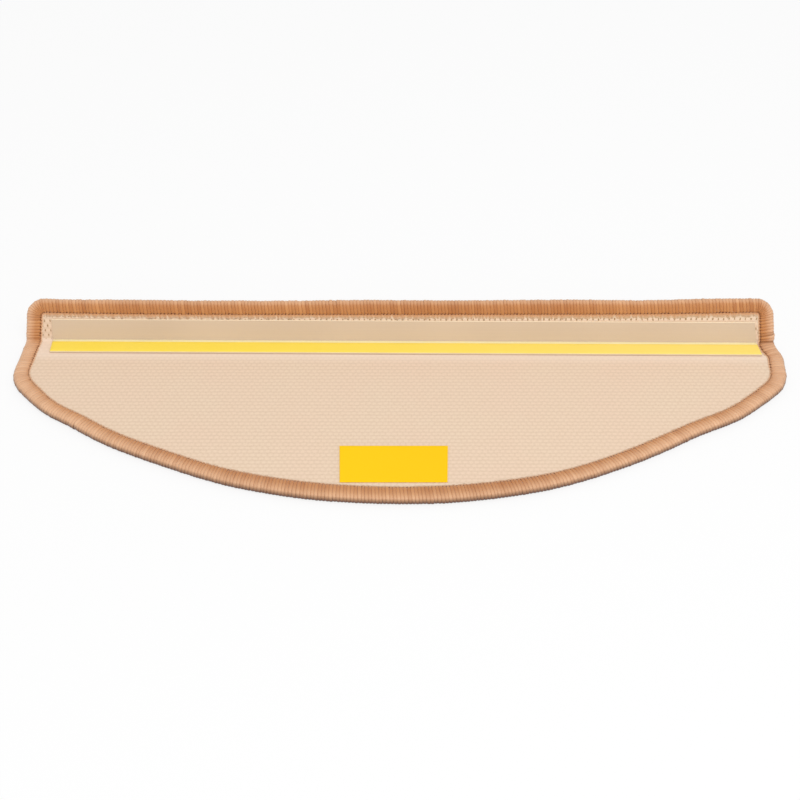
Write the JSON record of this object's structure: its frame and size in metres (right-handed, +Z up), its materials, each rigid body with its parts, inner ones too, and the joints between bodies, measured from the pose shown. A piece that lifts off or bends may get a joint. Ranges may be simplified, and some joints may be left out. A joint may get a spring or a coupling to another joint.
{
  "type": "anti slip stair tread mat",
  "caption": "Half-round stair tread mat, underside up: cloth backing, whipped yarn edge, plastic angle in the folded lip, adhesive strip and patch under yellow liners.",
  "frame": {"origin": "under the middle of the whole mat, on the surface that it lies on, at the middle of its bounding box", "axes": "+Z up, away from the carpet face that it lies on; +X along the fold, to the right as seen from the rounded front; +Y from the rounded front to the lip"},
  "size_m": [0.6516, 0.2208, 0.0444],
  "materials": {
    "backing_cloth": "cream textile backing with a fine staggered dot weave, needle-felt carpet face below",
    "binding_yarn": "caramel synthetic yarn, whipped close",
    "tan_plastic": "extruded, satin",
    "cream_tape": "double-sided adhesive tape",
    "strip_liner_film": "siliconed release paper, light yellow",
    "patch_liner_film": "siliconed release paper, yellow"
  },
  "bodies": {
    "root": {"mat_body": "backing_cloth", "edge_binding": "binding_yarn", "angle_profile": "tan_plastic", "strip_adhesive": "cream_tape", "strip_release_liner": "strip_liner_film", "patch_adhesive": "cream_tape", "patch_release_liner": "patch_liner_film"}
  },
  "joints": []
}
